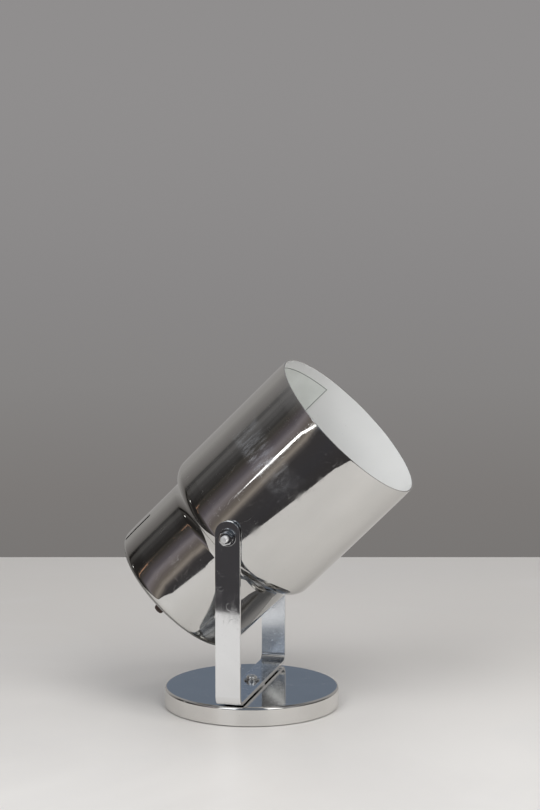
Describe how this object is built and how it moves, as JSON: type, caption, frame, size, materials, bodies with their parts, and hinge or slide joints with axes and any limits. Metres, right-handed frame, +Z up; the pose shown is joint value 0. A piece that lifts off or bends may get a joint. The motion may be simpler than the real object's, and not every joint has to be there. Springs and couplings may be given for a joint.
{
  "type": "tabletop searchlight lamp",
  "caption": "Chromed two-step can spotlight that tilts in a U-shaped yoke and swivels on a round weighted foot.",
  "frame": {"origin": "centre of the foot's underside, on the table", "axes": "+Z up; +X the way the head looks, level; Y along the tilt axis between the yoke's arms"},
  "size_m": [0.1655, 0.1236, 0.2001],
  "materials": {
    "can_chrome": "polished chrome plate on spun steel, fine scratches, white enamel inside",
    "yoke_chrome": "polished chrome plate on steel strip",
    "foot_chrome": "polished chrome plate on pressed steel, mirror top",
    "zinc_hardware": "bright zinc plated steel",
    "bracket_steel": "plain zinc plated strip",
    "iron": "rough black casting",
    "felt": "black felt",
    "nylon": "natural nylon",
    "brass": "machined brass",
    "porcelain": "glazed porcelain",
    "frosted_glass": "frosted white bulb",
    "cap_metal": "rolled aluminium screw cap",
    "phenolic": "moulded phenolic",
    "brown_bakelite": "dark brown moulded knob",
    "lead_insulation": "white lead insulation",
    "black_rubber": "moulded rubber",
    "label_paper": "plain paper label, blank"
  },
  "bodies": {
    "foot": {"base_cover": "foot_chrome", "base_weight": "iron", "foot_pad": "felt", "yoke_spacer": "zinc_hardware", "centre_screw": "zinc_hardware", "centre_washer": "zinc_hardware", "centre_lock_washer": "zinc_hardware", "centre_nut": "zinc_hardware"},
    "yoke": {"yoke": "yoke_chrome"},
    "head": {"front_shade": "can_chrome", "rear_housing": "can_chrome", "pivot_screws": "zinc_hardware", "inner_washers": "zinc_hardware", "pivot_spacers": "nylon", "pivot_washers": "zinc_hardware", "pivot_lock_washers": "zinc_hardware", "pivot_nuts": "zinc_hardware", "socket_bracket": "bracket_steel", "bracket_screws": "zinc_hardware", "bracket_nuts": "zinc_hardware", "nipple": "brass", "nipple_nut": "brass", "socket_body": "porcelain", "screw_shell": "brass", "centre_contact": "brass", "bulb_glass": "frosted_glass", "bulb_cap": "cap_metal", "bulb_contact": "brass", "switch_body": "phenolic", "switch_bushing": "brass", "switch_nut": "zinc_hardware", "switch_leads": "lead_insulation", "cord_grommet": "black_rubber", "label_blank": "label_paper"},
    "knob": {"switch_knob": "brown_bakelite", "switch_shaft": "brass"}
  },
  "joints": [
    {"name": "yoke_swivel", "type": "hinge", "parent": "foot", "child": "yoke", "pos_m": [0, 0, 0.0133], "axis": [0, 0, 1], "continuous": true},
    {"name": "head_tilt", "type": "hinge", "parent": "yoke", "child": "head", "pos_m": [0, 0, 0.108], "axis": [0, -1, 0], "range_deg": [-95, 185]},
    {"name": "knob_turn", "type": "hinge", "parent": "head", "child": "knob", "pos_m": [-0.05162, 0, 0.05638], "axis": [0.7071, 0, 0.7071], "continuous": true}
  ]
}
